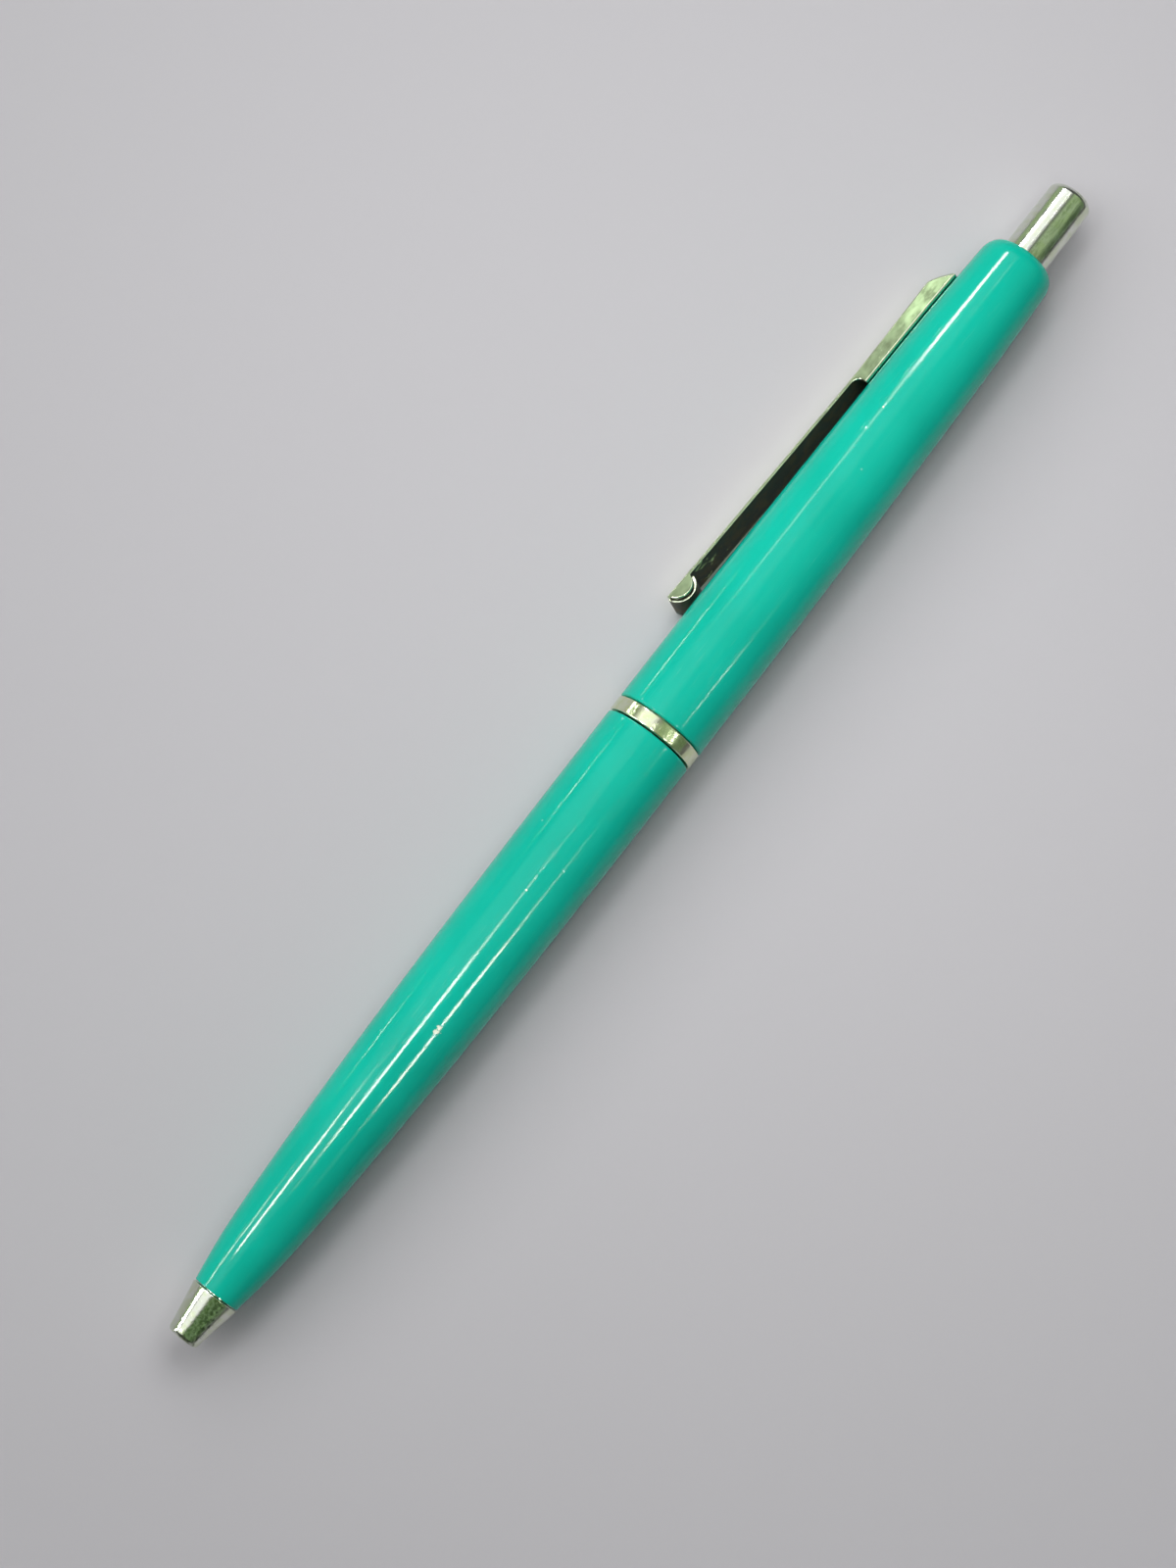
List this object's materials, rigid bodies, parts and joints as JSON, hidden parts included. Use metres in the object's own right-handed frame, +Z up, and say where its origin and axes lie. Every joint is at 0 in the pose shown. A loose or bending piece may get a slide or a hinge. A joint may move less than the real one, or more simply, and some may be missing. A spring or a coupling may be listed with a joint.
{
  "type": "retractable ballpoint pen",
  "caption": "Slim push-button ballpoint pen: tapered plastic barrel halves, metal nose, centre ring, spring pocket clip and a cam-latched cartridge.",
  "frame": {"origin": "bottom centre of the bounding box; the pen lies on its side on z = 0", "axes": "+X along the pen from the nose to the push button, +Z up, the pocket clip is on the +Y side and below the pen's axis"},
  "size_m": [0.1396, 0.0118, 0.0095],
  "materials": {
    "barrel_plastic": "polished, light scratches",
    "nose_chrome": "bright plate, speckled wear",
    "ring_chrome": "bright plate, worn",
    "clip_chrome": "bright plate over sheet steel",
    "button_chrome": "bright plate",
    "bush_steel": "turned",
    "cam_plastic": "moulded",
    "sleeve_plastic": "moulded",
    "thread_brass": "turned",
    "spring_steel": "drawn wire",
    "cartridge_steel": "drawn tube",
    "point_brass": "turned",
    "ball_carbide": "ground",
    "ink_paste": "thick paste"
  },
  "bodies": {
    "upper_barrel": {"upper_barrel": "barrel_plastic", "center_ring": "ring_chrome", "thread_insert": "thread_brass", "clip_bush": "bush_steel", "cam_sleeve": "sleeve_plastic"},
    "push_button": {"push_button": "button_chrome", "button_core": "cam_plastic"},
    "refill": {"cam_rotor": "cam_plastic", "refill_plug": "cam_plastic", "refill_tube": "cartridge_steel", "refill_neck": "cartridge_steel", "point_socket": "point_brass", "writing_ball": "ball_carbide", "ink_column": "ink_paste"},
    "spring": {"return_spring": "spring_steel"},
    "lower_barrel": {"lower_barrel": "barrel_plastic", "nose_cone": "nose_chrome", "neck_bush": "thread_brass"},
    "pocket_clip": {"pocket_clip": "clip_chrome"}
  },
  "joints": [
    {"name": "button_press", "type": "slide", "parent": "upper_barrel", "child": "push_button", "axis": [-1, 0, 0], "range_m": [0, 0.0058], "stiffness_N_per_m": 250, "springref_m": -0.004, "deforming": ["return_spring"]},
    {"name": "cam_index", "type": "hinge", "parent": "push_button", "child": "refill", "pos_m": [0.03458, -0.00113, 0.00477], "axis": [1, 0, 0], "range_deg": [0, 11.25]},
    {"name": "barrel_draw", "type": "slide", "parent": "upper_barrel", "child": "spring", "axis": [-1, 0, 0], "range_m": [0, 0.0075], "deforming": ["return_spring"]},
    {"name": "barrel_turn", "type": "hinge", "parent": "spring", "child": "lower_barrel", "pos_m": [0.00188, -0.00113, 0.00477], "axis": [-1, 0, 0], "range_deg": [0, 2160]},
    {"name": "clip_flex", "type": "hinge", "parent": "upper_barrel", "child": "pocket_clip", "pos_m": [0.05578, 0.00266, 0.00297], "axis": [0, -0.4289, -0.9033], "range_deg": [0, 3.5], "stiffness_Nm_per_rad": 1.4, "springref_deg": -0.57}
  ],
  "couplings": [
    {"joint": "cam_index", "follows": "button_press", "rad_per_m": 33.85},
    {"joint": "barrel_turn", "follows": "barrel_draw", "rad_per_m": 5026.5}
  ]
}
